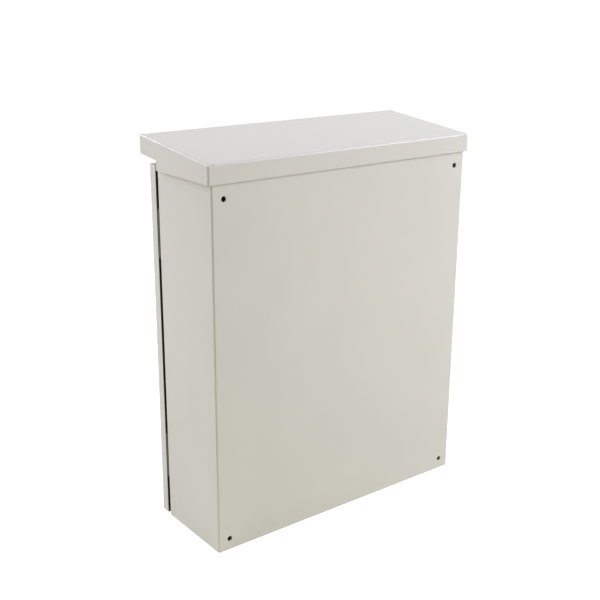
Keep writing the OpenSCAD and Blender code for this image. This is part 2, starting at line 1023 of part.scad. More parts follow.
module cam_washer() {
    color(zinc)
        from_wall()
            at_lock(cam_back_y)
                ring(washer_d + cam_t, cam_screw_d + 2 * bolt_clear, washer_t);
}

module cam_screw() {
    head_y = cam_back_y + washer_t;
    color(zinc)
        from_wall() {
            at_lock(cam_front_y - cam_screw_d)
                cylinder(d = cam_screw_d, h = head_y - cam_front_y + cam_screw_d);
            at_lock(head_y)
                hexagon(small_nut_af, small_nut_h);
        }
}

module at_body_earth(z) {
    translate([body_earth_x, entry_y, sheet_t + z])
        children();
}

module at_door_earth(y) {
    translate([door_earth_x, 0, earth_height])
        along_depth(door_inner_y + y)
            children();
}

module body_earth_stud() {
    color(brass)
        from_wall()
            at_body_earth(0)
                cylinder(d = stud_d, h = earth_len);
}

module body_earth_washer() {
    color(brass)
        from_wall()
            at_body_earth(0)
                washer();
}

module body_earth_nut() {
    color(brass)
        from_wall()
            at_body_earth(washer_t)
                hex_nut(nut_af, nut_h, stud_d);
}

module door_earth_stud() {
    color(brass)
        from_wall()
            at_door_earth(0)
                cylinder(d = stud_d, h = earth_len);
}

module door_earth_washer() {
    color(brass)
        from_wall()
            at_door_earth(0)
                washer();
}

module door_earth_nut() {
    color(brass)
        from_wall()
            at_door_earth(washer_t)
                hex_nut(nut_af, nut_h, stud_d);
}

body_wrap();
top_panel();
bottom_panel();
rain_hood();
hood_cleat_left();
hood_cleat_right();
hood_bolts();
hood_washers();
hood_nuts();
mounting_plate();
plate_studs();
plate_spacers();
plate_washers();
plate_nuts();
entry_plate();
entry_gasket();
entry_studs();
entry_nuts();
grommet_left();
grommet_right();
body_leaf_upper();
body_leaf_lower();
hinge_pin_upper();
hinge_pin_lower();
body_earth_stud();
body_earth_washer();
body_earth_nut();
door_panel();
door_seal();
door_leaf_upper();
door_leaf_lower();
lock_housing();
lock_gasket();
lock_nut();
door_earth_stud();
door_earth_washer();
door_earth_nut();
lock_insert();
lock_cam();
cam_washer();
cam_screw();
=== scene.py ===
"""Looks of the outdoor wall enclosure: its finishes, threaded and turned pieces, seal, studio and camera.

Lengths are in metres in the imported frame: X runs across the door, the door faces -Y and Z is up.
"""

import json
import logging
import math
from collections.abc import Mapping, Sequence
from dataclasses import dataclass, field
from enum import Enum

import bmesh
import bpy
import numpy as np
from mathutils import Matrix, Vector


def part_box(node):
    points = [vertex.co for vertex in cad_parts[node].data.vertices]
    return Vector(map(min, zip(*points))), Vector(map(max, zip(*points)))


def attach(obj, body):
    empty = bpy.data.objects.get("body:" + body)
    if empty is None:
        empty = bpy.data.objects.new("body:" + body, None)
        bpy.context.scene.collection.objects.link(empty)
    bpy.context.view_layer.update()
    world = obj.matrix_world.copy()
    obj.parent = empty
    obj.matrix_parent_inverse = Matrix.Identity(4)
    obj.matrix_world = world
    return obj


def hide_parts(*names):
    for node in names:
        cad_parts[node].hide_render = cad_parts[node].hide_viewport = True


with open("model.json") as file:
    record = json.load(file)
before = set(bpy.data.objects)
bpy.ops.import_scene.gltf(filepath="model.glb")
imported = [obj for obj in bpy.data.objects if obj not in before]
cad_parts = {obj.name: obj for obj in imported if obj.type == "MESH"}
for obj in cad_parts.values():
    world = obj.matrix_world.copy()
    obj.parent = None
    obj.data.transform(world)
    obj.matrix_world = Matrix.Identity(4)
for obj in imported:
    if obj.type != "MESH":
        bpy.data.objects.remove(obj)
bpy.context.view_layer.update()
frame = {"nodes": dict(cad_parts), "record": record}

log = logging.getLogger("enclosure")

Colour = tuple[float, float, float]
Point = tuple[float, float, float]

MM = 0.001
TURN = 2.0 * math.pi
MERGE_DISTANCE = 1e-7
LEAST_COSINE = 1e-7
SHARP_EDGE = math.radians(32.0)
CORNER_SHARE = 0.45
SCREEN_WHITE = 255.0
SCREEN_TOE = 0.04045
TOE_SLOPE = 12.92
CURVE_OFFSET = 0.055
CURVE_POWER = 2.4


class Body(Enum):
    """Bodies of the frame that a piece can ride on."""

    ENCLOSURE = "enclosure"
    DOOR = "door"
    ROTOR = "lock_rotor"


class Slot(Enum):
    """Material slots of the record."""

    PAINT = "shell_paint"
    PLATE = "plate_zinc"
    ZINC = "zinc_hardware"
    HINGE = "hinge_steel"
    CHROME = "lock_chrome"
    RUBBER = "black_rubber"
    BRASS = "earth_brass"


class Way(Enum):
    """Direction of a round piece's axis, as the frame's vectors for the piece's own x, y and axis."""

    UP = ((1, 0, 0), (0, 1, 0), (0, 0, 1))
    TO_DOOR = ((1, 0, 0), (0, 0, 1), (0, -1, 0))
    TO_WALL = ((1, 0, 0), (0, 0, -1), (0, 1, 0))

    def start(self, low: Vector, high: Vector) -> np.ndarray:
        """Centre of the box's face at which the axis starts."""
        middle = (np.array(low) + np.array(high)) / 2.0
        return middle - np.array(self.value[2]) * (self.length(low, high) / 2.0)

    def length(self, low: Vector, high: Vector) -> float:
        """Length of the box along the axis."""
        return float(np.abs(np.array(self.value[2])) @ (np.array(high) - np.array(low)))


def linear(red: int, green: int, blue: int) -> Colour:
    """Scene colour of a screen colour, by the screen's own curve.

    A channel is value / 12.92 near black and ((value + 0.055) / 1.055) to the power 2.4 above that.

    Args:
        red: Red screen value from 0 to 255.
        green: Green screen value from 0 to 255.
        blue: Blue screen value from 0 to 255.

    Returns:
        The three scene channels from 0 to 1.
    """
    screen = np.array([red, green, blue]) / SCREEN_WHITE
    curve = ((screen + CURVE_OFFSET) / (1.0 + CURVE_OFFSET)) ** CURVE_POWER
    return tuple(np.where(screen <= SCREEN_TOE, screen / TOE_SLOPE, curve).tolist())


def toned(colour: Colour, factor: float) -> Colour:
    """The colour made lighter or darker by a factor."""
    return tuple(channel * factor for channel in colour)


# Shader maths and nodes


class Value:
    """Number on a socket, so that shader maths reads as an expression."""

    def __init__(self, sheet: "NodeSheet", socket: bpy.types.NodeSocket) -> None:
        """Wraps one socket of a sheet."""
        self.sheet = sheet
        self.socket = socket

    def _maths(self, operation: str, left: "Value | float", right: "Value | float") -> "Value":
        """Adds one Math node and returns its result."""
        node = self.sheet.add("ShaderNodeMath", {"operation": operation}, {0: left, 1: right})
        return Value(self.sheet, node.outputs[0])

    def __add__(self, other: "Value | float") -> "Value":
        """Sum."""
        return self._maths("ADD", self, other)

    def __sub__(self, other: "Value | float") -> "Value":
        """Difference."""
        return self._maths("SUBTRACT", self, other)

    def __rsub__(self, other: float) -> "Value":
        """Difference from a number."""
        return self._maths("SUBTRACT", other, self)

    def __mul__(self, other: "Value | float") -> "Value":
        """Product."""
        return self._maths("MULTIPLY", self, other)

    def __pow__(self, other: float) -> "Value":
        """Power."""
        return self._maths("POWER", self, other)

    def __gt__(self, other: "Value | float") -> "Value":
        """One where this is larger, zero elsewhere."""
        return self._maths("GREATER_THAN", self, other)

    def __lt__(self, other: "Value | float") -> "Value":
        """One where this is smaller, zero elsewhere."""
        return self._maths("LESS_THAN", self, other)

    def or_more(self, other: "Value | float") -> "Value":
        """The larger of the two."""
        return self._maths("MAXIMUM", self, other)

    def wave(self) -> "Value":
        """Sine of the number in radians."""
        return self._maths("SINE", self, 0.0)


class NodeSheet:
    """Node tree of one material or of the world, with the calls that fill it."""

    def __init__(self, owner: bpy.types.Material | bpy.types.World) -> None:
        """Clears the owner's tree."""
        owner.use_nodes = True
        self.tree = owner.node_tree
        self.tree.nodes.clear()

    def add(
        self,
        kind: str,
        settings: Mapping[str, object] | None = None,
        sockets: Mapping[str | int, object] | None = None,
    ) -> bpy.types.Node:
        """Adds one node.

        Args:
            kind: The node's type.
            settings: Its properties, which are set first.
            sockets: A number, a colour, a socket or a Value for each input, by name or index.

        Returns:
            The new node.
        """
        node = self.tree.nodes.new(kind)
        for name, setting in (settings or {}).items():
            setattr(node, name, setting)
        for key, given in (sockets or {}).items():
            target = node.inputs[key]
            source = given.socket if isinstance(given, Value) else given
            if isinstance(source, bpy.types.NodeSocket):
                self.tree.links.new(source, target)
            elif target.type == "RGBA":
                target.default_value = (*source, 1.0)
            else:
                target.default_value = source
        return node

    def place(self) -> bpy.types.NodeSocket:
        """Object coordinates, which are the frame's metres."""
        return self.add("ShaderNodeTexCoord").outputs["Object"]

    def noise(self, place: bpy.types.NodeSocket, per_metre: float, detail: float = 2.0) -> Value:
        """Soft noise from 0 to 1 with about this many features to a metre."""
        sockets = {"Vector": place, "Scale": per_metre, "Detail": detail}
        return Value(self, self.add("ShaderNodeTexNoise", {}, sockets).outputs[0])

    def cells(self, place: bpy.types.NodeSocket, per_metre: float) -> tuple[Value, Value, Value]:
        """Irregular cells.

        Args:
            place: Coordinates that carry the cells.
            per_metre: Number of cells to a metre.

        Returns:
            The distance from a cell's centre in cell sizes, and two random numbers of the cell.
        """
        node = self.add("ShaderNodeTexVoronoi", {}, {"Vector": place, "Scale": per_metre})
        split = self.add("ShaderNodeSeparateColor", {}, {0: node.outputs["Color"]})
        chances = (Value(self, split.outputs[0]), Value(self, split.outputs[1]))
        return Value(self, node.outputs["Distance"]), *chances

    def mix(self, share: Value, first: object, second: object) -> bpy.types.NodeSocket:
        """Colour that goes from the first to the second as the share goes from 0 to 1."""
        node = self.add("ShaderNodeMix", {"data_type": "RGBA"}, {0: share, 6: first, 7: second})
        return node.outputs[2]

    def relief(self, height: Value) -> bpy.types.NodeSocket:
        """Normal of a height in metres."""
        return self.add("ShaderNodeBump", {}, {"Strength": 1.0, "Distance": 1.0, "Height": height}).outputs[0]

    def surface(self, sockets: Mapping[str | int, object]) -> None:
        """Ends the sheet in a Principled shader with these sockets."""
        shader = self.add("ShaderNodeBsdfPrincipled", {}, sockets)
        self.add("ShaderNodeOutputMaterial", {}, {"Surface": shader.outputs[0]})


# Finishes


@dataclass(frozen=True)
class Finish:
    """Look of one kind of surface, with the record's slot it stands for."""

    name: str
    slot: Slot

    def shade(self, sheet: NodeSheet) -> None:
        """Fills the material's nodes."""
        raise NotImplementedError

    def material(self) -> bpy.types.Material:
        """Makes the finish's material once, and then shares it.

        Returns:
            The material.
        """
        made = bpy.data.materials.get(self.name)
        if made is None:
            made = bpy.data.materials.new(self.name)
            self.shade(NodeSheet(made))
        return made


@dataclass(frozen=True)
class PowderCoat(Finish):
    """Satin powder coat with a faint drift of tone, orange peel, a long ripple of the sheet and rare nibs."""

    colour: Colour = linear(207, 205, 199)
    roughness: float = 0.30
    gloss_drift: float = 0.1
    drift: float = 0.035
    drift_per_metre: float = 11.0
    peel_height: float = 4e-6
    peel_per_metre: float = 520.0
    ripple_height: float = 5e-4
    ripple_per_metre: float = 6.0
    nib_cells_per_metre: float = 42.0
    nib_size: float = 0.028
    nib_share: float = 0.09
    nib_tone: float = 0.86

    def tint(self, sheet: NodeSheet, place: bpy.types.NodeSocket, cloud: Value) -> bpy.types.NodeSocket:
        """Mixes two tones by soft noise and darkens rare small cells.

        Args:
            sheet: The material's nodes.
            place: Coordinates that carry the cells.
            cloud: Soft noise from 0 to 1.

        Returns:
            The coat's colour.
        """
        coat = sheet.mix(cloud, toned(self.colour, 1.0 - self.drift), toned(self.colour, 1.0 + self.drift))
        distance, chance, _ = sheet.cells(place, self.nib_cells_per_metre)
        nib = (distance < self.nib_size) * (chance < self.nib_share)
        return sheet.mix(nib, coat, toned(self.colour, self.nib_tone))

    def shade(self, sheet: NodeSheet) -> None:
        """Lays the colour, lets the gloss follow the same noise and adds both reliefs.

        Args:
            sheet: The material's nodes.
        """
        place = sheet.place()
        cloud = sheet.noise(place, self.drift_per_metre, detail=3.0)
        peel = sheet.noise(place, self.peel_per_metre, detail=1.0) * self.peel_height
        ripple = sheet.noise(place, self.ripple_per_metre, detail=0.0) * self.ripple_height
        sheet.surface({
            "Base Color": self.tint(sheet, place, cloud),
            "Roughness": cloud * self.gloss_drift + (self.roughness - self.gloss_drift / 2.0),
            "Normal": sheet.relief(peel + ripple),
        })


@dataclass(frozen=True)
class PaintedShadeDoorCoat(PowderCoat):
    """The door's powder coat with painted shade: dark on the cut edges in the gap below the hood's rim, and
    on the top under the hood.
    """

    edge_y: float = 0.0
    gap_shade_z: float = 0.0
    top_z: float = 0.0
    gap_shade_tone: float = 0.06
    top_shade_tone: float = 0.42

    def tint(self, sheet: NodeSheet, place: bpy.types.NodeSocket, cloud: Value) -> bpy.types.NodeSocket:
        """Paints shade into the coat's colour beyond the edge's depth and below the shade height, and on the
        top.

        Args:
            sheet: The material's nodes.
            place: Coordinates that carry the cells.
            cloud: Soft noise from 0 to 1.

        Returns:
            The coat's colour, with the painted shade on the edges and the top.
        """
        split = sheet.add("ShaderNodeSeparateXYZ", {}, {0: place})
        depth, height = Value(sheet, split.outputs[1]), Value(sheet, split.outputs[2])
        coat = PowderCoat.tint(self, sheet, place, cloud)
        # Painted shade: the door's cut edges in the gap, as dark as the gap's shadow, below the hood's rim.
        edge_shade_mask = (depth > self.edge_y) * (height < self.gap_shade_z)
        shaded_edges = sheet.mix(edge_shade_mask, coat, toned(self.colour, self.gap_shade_tone))
        # Painted shade: the door's top, dark as in the shadow of the hood above it.
        return sheet.mix(height > self.top_z, shaded_edges, toned(self.colour, self.top_shade_tone))


@dataclass(frozen=True)
class GalvanisedSheet(Finish):
    """Hot-dipped zinc sheet: crystals of two sizes, each with its own tone and gloss."""

    light: Colour = (0.65, 0.66, 0.67)
    dark: Colour = (0.51, 0.525, 0.54)
    roughness: float = 0.34
    gloss_drift: float = 0.16
    crystals_per_metre: float = 85.0
    crystal_bend: float = 6.0 * MM
    large_share: float = 0.65
    small_ratio: float = 2.7
    grain_per_metre: float = 900.0
    grain_height: float = 4e-6

    def shade(self, sheet: NodeSheet) -> None:
        """Bends the coordinates by noise, takes a tone from each crystal and adds fine grain.

        Args:
            sheet: The material's nodes.
        """
        place = sheet.place()
        bend = sheet.noise(place, self.crystals_per_metre) * self.crystal_bend
        shifted = sheet.add("ShaderNodeVectorMath", {"operation": "MULTIPLY_ADD"}, {
            0: bend, 1: (1.0, 1.0, 1.0), 2: place,
        }).outputs[0]
        _, large, gloss = sheet.cells(shifted, self.crystals_per_metre)
        _, small, _ = sheet.cells(shifted, self.small_ratio * self.crystals_per_metre)
        tone = large * self.large_share + small * (1.0 - self.large_share)
        grain = sheet.noise(place, self.grain_per_metre)
        sheet.surface({
            "Base Color": sheet.mix(tone, self.dark, self.light),
            "Metallic": 1.0,
            "Roughness": gloss * self.gloss_drift + self.roughness,
            "Normal": sheet.relief(grain * self.grain_height),
        })


@dataclass(frozen=True)
class PlatedSteel(Finish):
    """Plated steel: two tones in soft blotches that also change the gloss, and a fine grain in relief."""

    light: Colour
    dark: Colour
    roughness: float = 0.3
    metallic: float = 1.0
    gloss_drift: float = 0.2
    blotches_per_metre: float = 140.0
    grain_per_metre: float = 2600.0
    grain_height: float = 3e-6

    def shade(self, sheet: NodeSheet) -> None:
        """Mixes the tones by noise and lets the same noise dull the gloss.

        Args:
            sheet: The material's nodes.
        """
        place = sheet.place()
        blotch = sheet.noise(place, self.blotches_per_metre, detail=3.0)
        grain = sheet.noise(place, self.grain_per_metre)
        sheet.surface({
            "Base Color": sheet.mix(blotch, self.dark, self.light),
            "Metallic": self.metallic,
            "Roughness": (1.0 - blotch) * self.gloss_drift + self.roughness,
            "Normal": sheet.relief(grain * self.grain_height),
        })


@dataclass(frozen=True)
class TurnedChrome(Finish):
    """Satin chrome on a turned casting: fine rings about the lock's axis, under soft blotches."""

    axis_x: float
    axis_z: float
    light: Colour = (0.72, 0.73, 0.74)
    dark: Colour = (0.52, 0.53, 0.55)
    roughness: float = 0.2
    gloss_drift: float = 0.12
    ring_pitch: float = 0.35 * MM
    ring_height: float = 4e-6
    wobbles_per_metre: float = 900.0
    blotches_per_metre: float = 180.0

    def shade(self, sheet: NodeSheet) -> None:
        """Takes the radius from the lock's axis and raises a sine of it.

        Args:
            sheet: The material's nodes.
        """
        place = sheet.place()
        split = sheet.add("ShaderNodeSeparateXYZ", {}, {0: place})
        across = Value(sheet, split.outputs[0]) - self.axis_x
        upward = Value(sheet, split.outputs[2]) - self.axis_z
        radius = (across * across + upward * upward) ** 0.5
        wobble = sheet.noise(place, self.wobbles_per_metre, detail=1.0) * self.ring_pitch
        rings = ((radius + wobble) * (TURN / self.ring_pitch)).wave()
        blotch = sheet.noise(place, self.blotches_per_metre, detail=3.0)
        sheet.surface({
            "Base Color": sheet.mix(blotch, self.dark, self.light),
            "Metallic": 1.0,
            "Roughness": blotch * self.gloss_drift + self.roughness,
            "Normal": sheet.relief(rings * self.ring_height),
        })


@dataclass(frozen=True)
class Rubber(Finish):
    """Matt black rubber or sponge: a faint grey bloom and pores in relief."""

    bloom: Colour = (0.030, 0.030, 0.031)
    black: Colour = (0.010, 0.010, 0.011)
    roughness: float = 0.78
    gloss_drift: float = 0.16
    blooms_per_metre: float = 60.0
    pores_per_metre: float = 700.0
    pore_depth: float = 3e-5

    def shade(self, sheet: NodeSheet) -> None:
        """Mixes black and bloom by noise and sinks each cell's middle as a pore.

        Args:
            sheet: The material's nodes.
        """
        place = sheet.place()
        bloom = sheet.noise(place, self.blooms_per_metre, detail=4.0)
        distance, chance, _ = sheet.cells(place, self.pores_per_metre)
        pore = distance * chance * self.pore_depth
        sheet.surface({
            "Base Color": sheet.mix(bloom, self.black, self.bloom),
            "Roughness": bloom * self.gloss_drift + (self.roughness - self.gloss_drift / 2.0),
            "Normal": sheet.relief(pore),
        })


SHELL_COAT = PowderCoat("powder_coat", Slot.PAINT)
ZINC_SHEET = GalvanisedSheet("galvanised_sheet", Slot.PLATE)
BRIGHT_ZINC = PlatedSteel("bright_zinc", Slot.ZINC, (0.68, 0.69, 0.70), (0.50, 0.51, 0.53))
HINGE_STEEL = PlatedSteel(
    "dull_hinge_steel", Slot.HINGE, (0.16, 0.145, 0.12), (0.07, 0.062, 0.05), roughness=0.5, metallic=0.5
)
EARTH_BRASS = PlatedSteel("dull_brass", Slot.BRASS, (0.68, 0.50, 0.22), (0.46, 0.31, 0.13), roughness=0.28)
MATT_RUBBER = Rubber("matt_rubber", Slot.RUBBER)
SPONGE = Rubber("sponge_rubber", Slot.RUBBER, roughness=0.9, pores_per_metre=420.0, pore_depth=2e-4)


# Surfaces


def angles(sides: int) -> np.ndarray:
    """Equal steps round a full turn, without the last that closes it."""
    return np.arange(sides) * (TURN / sides)


def rounded(corners: Sequence[tuple[float, float]], radius: float, steps: int = 5) -> np.ndarray:
    """Open outline whose inner corners are turned into curves.

    A corner becomes the quadratic curve that leaves the outline one radius before it and meets it one radius
    after it, or the corner's share of an edge where that is shorter.

    Args:
        corners: The outline's corners in order.
        radius: Distance of a curve's ends from its corner.
        steps: Points on each curve.

    Returns:
        The outline's points, one to a row.
    """
    outline = np.array(corners, float)
    edges = np.diff(outline, axis=0)
    lengths = np.linalg.norm(edges, axis=1, keepdims=True)
    setback = np.minimum(radius, CORNER_SHARE * lengths)
    inner = outline[1:-1]
    before = inner - edges[:-1] / lengths[:-1] * setback[:-1]
    after = inner + edges[1:] / lengths[1:] * setback[1:]
    share = np.linspace(0.0, 1.0, steps)[None, :, None]
    left = 1 - share
    curves = left**2 * before[:, None] + 2 * share * left * inner[:, None] + share**2 * after[:, None]
    return np.concatenate([outline[:1], curves.reshape(-1, 2), outline[-1:]])


@dataclass(frozen=True)
class PolarForm:
    """Surface about an axis: a radius and a height for each step of its section and each angle.

    The section runs with the material on its left, from the axis back to it or, for a ring, round to its
    start.
    """

    radius: np.ndarray
    height: np.ndarray
    ring: bool = False

    @classmethod
    def turned(cls, section: np.ndarray, sides: int, ring: bool = False) -> "PolarForm":
        """Form of a section of (radius, height) rows that is the same at every angle."""
        return cls(np.tile(section[:, :1], sides), np.tile(section[:, 1:], sides), ring)

    @classmethod
    def stacked(cls, parts: Sequence["PolarForm"], ring: bool = False) -> "PolarForm":
        """Form of several sections that follow each other."""
        radius = np.vstack([part.radius for part in parts])
        return cls(radius, np.vstack([part.height for part in parts]), ring)

    def points(self) -> np.ndarray:
        """Grid of points: x = radius cos(angle), y = radius sin(angle), z = height."""
        angle = angles(self.radius.shape[1])
        return np.stack([self.radius * np.cos(angle), self.radius * np.sin(angle), self.height], axis=-1)


def placed(points: np.ndarray, way: Way, start: np.ndarray) -> np.ndarray:
    """Points turned so that their axis follows the way, with their origin at the start."""
    return points @ np.array(way.value, float) + start


def make_piece(name: str, grids: Sequence[np.ndarray], ring: bool) -> bpy.types.Object:
    """Object of one or more closed grids.

    Cell (i, j) is the face of points (i, j), (i, j + 1), (i + 1, j + 1) and (i + 1, j). Columns close on
    themselves, and so do the rows of a ring. Points that fall together on the axis are merged.

    Args:
        name: The piece's name.
        grids: Arrays of points, with the section along the rows and the turn along the columns.
        ring: Whether the section closes on itself.

    Returns:
        The object, at the origin, linked to the scene.
    """
    faces = []
    count = 0
    for grid in grids:
        rows, columns = grid.shape[:2]
        index = count + np.arange(rows * columns).reshape(rows, columns)
        index = np.vstack([index, index[:1]]) if ring else index
        index = np.hstack([index, index[:, :1]])
        corners = (index[:-1, :-1], index[:-1, 1:], index[1:, 1:], index[1:, :-1])
        faces.append(np.stack(corners, axis=-1).reshape(-1, 4))
        count += rows * columns
    mesh = bpy.data.meshes.new(name)
    points = np.concatenate([grid.reshape(-1, 3) for grid in grids])
    mesh.from_pydata(points.tolist(), [], np.concatenate(faces).tolist())
    work = bmesh.new()
    work.from_mesh(mesh)
    bmesh.ops.remove_doubles(work, verts=work.verts, dist=MERGE_DISTANCE)
    work.to_mesh(mesh)
    work.free()
    mesh.shade_smooth()
    mesh.set_sharp_from_angle(angle=SHARP_EDGE)
    piece = bpy.data.objects.new(name, mesh)
    bpy.context.scene.collection.objects.link(piece)
    return piece


def capped(parts: Sequence[PolarForm], sides: int, length: float) -> PolarForm:
    """Parts that follow each other from the height 0 to the length, closed by a flat cap at each end."""
    caps = [PolarForm.turned(np.array([[0.0, height]]), sides) for height in (0.0, length)]
    return PolarForm.stacked([caps[0], *parts, caps[1]])


@dataclass(frozen=True)
class Thread:
    """Screw thread with blunt crests and roots."""

    diameter: float
    pitch: float
    depth_share: float = 0.61
    rows_per_turn: int = 8
    sides: int = 32
    root_share: float = 0.12
    flank_share: float = 0.72

    @property
    def root(self) -> float:
        """Radius at the bottom of the thread."""
        return self.diameter / 2.0 - self.depth_share * self.pitch

    def form(self, start: float, end: float) -> PolarForm:
        """Threaded cylinder.

        At height z and angle a the phase is z / pitch - a / turn. A triangle wave of the phase, cut off near
        its ends, carries the radius from root to crest, and both ends taper at 45 degrees to the root.

        Args:
            start: Height of the first row.
            end: Height of the last row.

        Returns:
            The thread's rows, without end caps.
        """
        rows = int((end - start) / self.pitch * self.rows_per_turn) + 2
        height = np.linspace(start, end, rows)[:, None] + np.zeros(self.sides)
        phase = (height / self.pitch - angles(self.sides) / TURN) % 1.0
        wave = 1.0 - 2.0 * np.abs(phase - 0.5)
        ridge = np.clip((wave - self.root_share) / self.flank_share, 0.0, 1.0)
        crest = self.root + (self.diameter / 2.0 - self.root) * ridge
        taper = self.root + np.minimum(height - start, end - height)
        return PolarForm(np.minimum(crest, taper), height)


@dataclass(frozen=True)
class Hexagon:
    """Hexagonal head or nut with chamfered corners."""

    across: float
    height: float
    sides: int = 48
    face_share: float = 0.475
    ease_share: float = 0.08
    chamfer: float = math.radians(30.0)

    def outline(self, sides: int) -> np.ndarray:
        """Radius of the hexagon at each angle: half its width over the cosine of the angle to the flat."""
        sixth = TURN / 6
        return self.across / 2.0 / np.cos(angles(sides) % sixth - sixth / 2.0)

    def wall(self, sides: int, chamfered_top: bool) -> PolarForm:
        """Chamfered lower face edge and the flats, up to the upper face's edge or to its own chamfer.

        Outside the round face, a height leaves the face by the tangent of the chamfer for each step out.

        Args:
            sides: Points round the wall.
            chamfered_top: Whether the upper face has a chamfer as well.

        Returns:
            The wall's rows, without the faces.
        """
        outline = self.outline(sides)
        drop = (outline - self.face_share * self.across) * math.tan(self.chamfer)
        face = np.full(sides, self.face_share * self.across)
        flat = np.zeros(sides)
        top = np.full(sides, self.height)
        if chamfered_top:
            rows = ((face, flat), (outline, drop), (outline, top - drop), (face, top))
        else:
            rows = ((face, flat), (outline, drop), (outline, top))
        return PolarForm(np.array([row[0] for row in rows]), np.array([row[1] for row in rows]))

    def nut(self, bore: float) -> PolarForm:
        """Nut about a bore, with both mouths of the bore broken at 45 degrees.

        Args:
            bore: Diameter of the bore.

        Returns:
            The nut's ring, from its lower face.
        """
        radius = bore / 2.0
        ease = self.ease_share * bore
        wide = radius + ease
        mouths = np.array([[wide, self.height], [radius, self.height - ease], [radius, ease], [wide, 0.0]])
        parts = [self.wall(self.sides, True), PolarForm.turned(mouths, self.sides)]
        return PolarForm.stacked(parts, ring=True)

    def bolt(self, thread: Thread, length: float) -> PolarForm:
        """Bolt of this head and length, with its thread from the head to the end."""
        parts = [self.wall(thread.sides, False), thread.form(self.height, length)]
        return capped(parts, thread.sides, length)


def stud(thread: Thread, length: float) -> PolarForm:
    """Threaded stud with flat ends."""
    return capped([thread.form(0.0, length)], thread.sides, length)


# Dressing


def dress(finish: Finish, *nodes: str) -> None:
    """Puts a finish on solids of the frame.

    Args:
        finish: The look.
        nodes: The solids that get it.
    """
    for node in nodes:
        solid = frame["nodes"][node]
        if not solid.material_slots:
            solid.data.materials.append(None)
        for place in solid.material_slots:
            place.material = finish.material()
        log.info("%s: %s", node, finish.name)


def settle(piece: bpy.types.Object, body: Body, finish: Finish, *nodes: str) -> None:
    """Gives a new piece its finish, its body and the solids that it stands for.

    Args:
        piece: The new object.
        body: The body that it rides on.
        finish: Its look.
        nodes: Solids of the frame that it replaces.
    """
    piece.data.materials.append(finish.material())
    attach(piece, body.value)
    if nodes:
        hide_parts(*nodes)
    log.info("%s: %s on %s, %d faces", piece.name, finish.name, body.value, len(piece.data.polygons))


def grid_starts(node: str, way: Way, radius: float, columns: int = 2, rows: int = 2) -> np.ndarray:
    """Starting points of equal round pieces that fill a node's box as a grid.

    The outer pieces touch the box, so their axes lie one radius inside it, and the others divide the span.

    Args:
        node: The node that holds the pieces.
        way: Direction of their axes.
        radius: Radius of one piece.
        columns: Pieces along X.
        rows: Pieces along the other direction across the axis.

    Returns:
        One starting point to a row.
    """
    low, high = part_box(node)
    other = 1 if way is Way.UP else 2
    middle = way.start(low, high)
    across = np.linspace(low[0] + radius, high[0] - radius, columns)
    along = np.linspace(low[other] + radius, high[other] - radius, rows)
    starts = np.tile(middle, (columns * rows, 1))
    starts[:, 0] = np.repeat(across, rows)
    starts[:, other] = np.tile(along, columns)
    return starts


def fit(
    name: str, form: PolarForm, way: Way, starts: np.ndarray, body: Body, finish: Finish, *nodes: str
) -> None:
    """Makes one piece of a form at each starting point, and settles it.

    Args:
        name: The piece's name.
        form: The form about its own axis.
        way: Direction of that axis.
        starts: One starting point, or one to a row.
        body: The body that the piece rides on.
        finish: Its look.
        nodes: Solids of the frame that it replaces.
    """
    grids = [placed(form.points(), way, start) for start in np.atleast_2d(starts)]
    settle(make_piece(name, grids, form.ring), body, finish, *nodes)


LARGE_THREAD = Thread(6.0 * MM, 1.0 * MM)
SMALL_THREAD = Thread(5.0 * MM, 0.8 * MM)
LARGE_HEX = Hexagon(10.0 * MM, 5.0 * MM)
SMALL_HEX = Hexagon(8.0 * MM, 4.0 * MM)


@dataclass
class WeatherShell:
    """Folded sheets that keep the weather out: body, end panels and door.

    The wall holes are drawn inwards, so that each has a short collar behind the sheet.
    """

    sheets: tuple[str, ...] = ("body_wrap", "top_panel", "bottom_panel")
    door: str = "door_panel"
    edge_depth: float = 0.1 * MM
    # The painted shade on the door's edges stops this far below the hood's rim.
    shade_below_rim: float = 2.5 * MM
    sheet_t: float = 1.2 * MM
    holes: str = "wall_holes"
    collar_h: float = 1.4 * MM
    collar_root: float = 1.6 * MM
    collar_tip: float = 0.7 * MM
    sides: int = 48

    def build(self) -> None:
        """Coats the sheets and makes the collars."""
        dress(SHELL_COAT, *self.sheets)
        dress(self.door_coat(), self.door)
        mount = next(each for each in frame["record"]["mounts"] if each["name"] == self.holes)
        dims = mount["dims"]
        ends = np.array([-0.5, 0.5])
        across = mount["pos_m"][0] + ends * dims["spacing_x_mm"] * MM
        upward = mount["pos_m"][2] + ends * dims["spacing_y_mm"] * MM
        starts = np.full((dims["count"], 3), mount["pos_m"][1] - self.sheet_t)
        starts[:, 0] = np.repeat(across, 2)
        starts[:, 2] = np.tile(upward, 2)
        collar = self.collar(dims["hole_r_mm"] * MM)
        fit("wall_hole_collars", collar, Way.TO_DOOR, starts, Body.ENCLOSURE, SHELL_COAT)

    def door_coat(self) -> PaintedShadeDoorCoat:
        """Fits the coat's painted shade to the door's edges and top, and to the hood's lower rim.

        Returns:
            The coat.
        """
        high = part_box(self.door)[1]
        gap_shade_z = float(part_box("rain_hood")[0][2]) - self.shade_below_rim
        edge_y, top_z = float(high[1]) - self.edge_depth, float(high[2]) - self.edge_depth
        return PaintedShadeDoorCoat("door_coat_painted_shade", Slot.PAINT, edge_y=edge_y, gap_shade_z=gap_shade_z, top_z=top_z)

    def collar(self, bore: float) -> PolarForm:
        """Collar that thins towards its tip: a turned ring of four corners.

        Args:
            bore: Radius of the hole.

        Returns:
            The collar's form, from the sheet inwards.
        """
        root = bore + self.collar_root
        tip = bore + self.collar_tip
        section = np.array([[bore, 0.0], [root, 0.0], [tip, self.collar_h], [bore, self.collar_h]])
        return PolarForm.turned(section, self.sides, ring=True)


